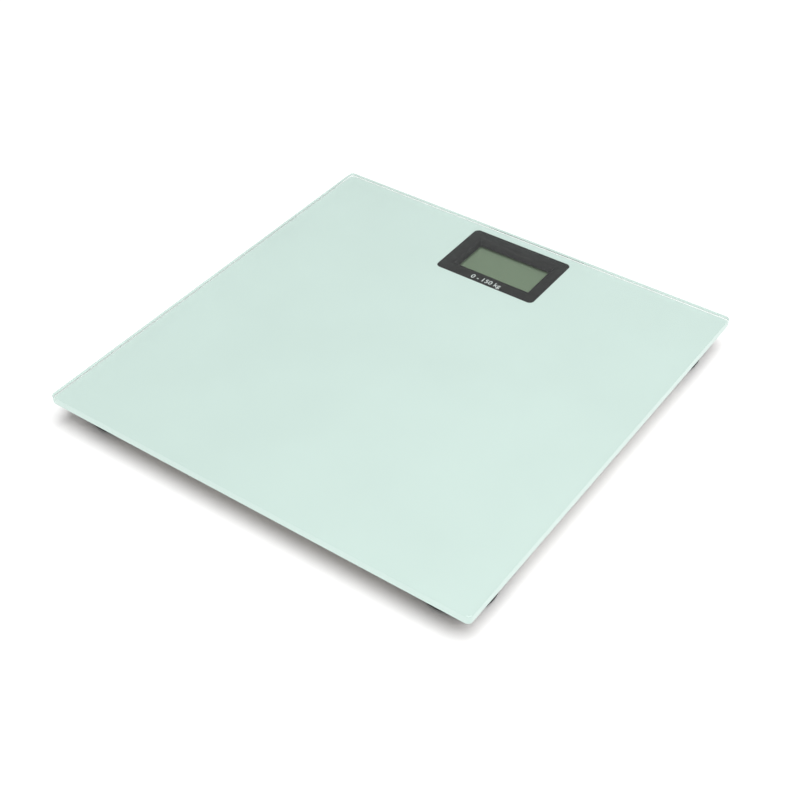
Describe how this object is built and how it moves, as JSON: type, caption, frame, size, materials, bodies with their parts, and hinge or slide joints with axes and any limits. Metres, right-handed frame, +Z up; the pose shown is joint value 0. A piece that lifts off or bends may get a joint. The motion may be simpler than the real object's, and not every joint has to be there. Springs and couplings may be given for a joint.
{
  "type": "digital bathroom scale",
  "caption": "Square glass platform scale with a sunken digital display near its rear edge, standing on round load-cell feet.",
  "frame": {"origin": "on the floor, under the middle of the glass platform", "axes": "+X to the right, +Y towards the rear edge with the display, +Z up"},
  "size_m": [0.3, 0.3, 0.022],
  "materials": {
    "clear_glass": "clear toughened glass with polished edges",
    "enamel_print": "pale mint-white screen-printed enamel",
    "foam_tape": "matte acrylic foam tape",
    "bezel_plastic": "fine satin moulded ABS",
    "lcd_film": "satin polariser film over blank liquid crystal glass",
    "conductive_rubber": "matte layered silicone",
    "board_laminate": "green solder mask on glass-epoxy laminate",
    "potting_epoxy": "black glob-top epoxy",
    "component_ceramic": "matte chip ceramic",
    "switch_steel": "satin stamped steel",
    "plunger_plastic": "moulded black nylon",
    "button_plastic": "satin moulded ABS",
    "housing_plastic": "spark-eroded moulded ABS",
    "screw_steel": "zinc-plated steel",
    "battery_steel": "nickel-plated stainless steel",
    "contact_plating": "nickel-plated spring steel",
    "duct_plastic": "extruded white PVC",
    "foot_plastic": "spark-eroded moulded ABS",
    "load_cell_steel": "stamped nickel-plated alloy steel",
    "gauge_silicone": "soft white silicone potting",
    "wire_insulation": "PVC insulation",
    "foot_rubber": "matte thermoplastic rubber"
  },
  "bodies": {
    "platform": {"glass_platform": "clear_glass", "back_print": "enamel_print", "housing_tape": "foam_tape", "display_bezel": "bezel_plastic", "lcd_panel": "lcd_film", "lcd_connector": "conductive_rubber", "circuit_board": "board_laminate", "board_chip": "potting_epoxy", "board_components": "component_ceramic", "unit_switch": "switch_steel", "display_housing": "housing_plastic", "housing_screws": "screw_steel", "coin_cell": "battery_steel", "contact_positive": "contact_plating", "contact_negative": "contact_plating", "left_side_duct": "duct_plastic", "right_side_duct": "duct_plastic", "left_rear_duct": "duct_plastic", "right_rear_duct": "duct_plastic", "front_left_foot_tape": "foam_tape", "front_left_foot_housing": "foot_plastic", "front_left_load_cell": "load_cell_steel", "front_left_strain_gauge": "gauge_silicone", "front_left_wires": "wire_insulation", "front_right_foot_tape": "foam_tape", "front_right_foot_housing": "foot_plastic", "front_right_load_cell": "load_cell_steel", "front_right_strain_gauge": "gauge_silicone", "front_right_wires": "wire_insulation", "rear_left_foot_tape": "foam_tape", "rear_left_foot_housing": "foot_plastic", "rear_left_load_cell": "load_cell_steel", "rear_left_strain_gauge": "gauge_silicone", "rear_left_wires": "wire_insulation", "rear_right_foot_tape": "foam_tape", "rear_right_foot_housing": "foot_plastic", "rear_right_load_cell": "load_cell_steel", "rear_right_strain_gauge": "gauge_silicone", "rear_right_wires": "wire_insulation"},
    "battery_door": {"battery_door": "housing_plastic"},
    "unit_button": {"unit_button": "button_plastic", "switch_plunger": "plunger_plastic"},
    "front_left_foot": {"front_left_foot_cap": "foot_plastic", "front_left_foot_pad": "foot_rubber"},
    "front_right_foot": {"front_right_foot_cap": "foot_plastic", "front_right_foot_pad": "foot_rubber"},
    "rear_left_foot": {"rear_left_foot_cap": "foot_plastic", "rear_left_foot_pad": "foot_rubber"},
    "rear_right_foot": {"rear_right_foot_cap": "foot_plastic", "rear_right_foot_pad": "foot_rubber"}
  },
  "joints": [
    {"name": "front_left_foot_travel", "type": "slide", "parent": "platform", "child": "front_left_foot", "axis": [0, 0, 1], "range_m": [0, 0.0004], "stiffness_N_per_m": 8000, "springref_m": -0.00075, "deforming": ["front_left_load_cell"]},
    {"name": "front_right_foot_travel", "type": "slide", "parent": "platform", "child": "front_right_foot", "axis": [0, 0, 1], "range_m": [0, 0.0004], "stiffness_N_per_m": 8000, "springref_m": -0.00075, "deforming": ["front_right_load_cell"]},
    {"name": "rear_left_foot_travel", "type": "slide", "parent": "platform", "child": "rear_left_foot", "axis": [0, 0, 1], "range_m": [0, 0.0004], "stiffness_N_per_m": 8000, "springref_m": -0.00075, "deforming": ["rear_left_load_cell"]},
    {"name": "rear_right_foot_travel", "type": "slide", "parent": "platform", "child": "rear_right_foot", "axis": [0, 0, 1], "range_m": [0, 0.0004], "stiffness_N_per_m": 8000, "springref_m": -0.00075, "deforming": ["rear_right_load_cell"]},
    {"name": "battery_door_hinge", "type": "hinge", "parent": "platform", "child": "battery_door", "pos_m": [-0.016, 0.0663, 0.0034], "axis": [-1, 0, 0], "range_deg": [0, 90]},
    {"name": "unit_button_press", "type": "slide", "parent": "platform", "child": "unit_button", "axis": [0, 0, 1], "range_m": [0, 0.0005], "stiffness_N_per_m": 800, "springref_m": -0.001}
  ]
}
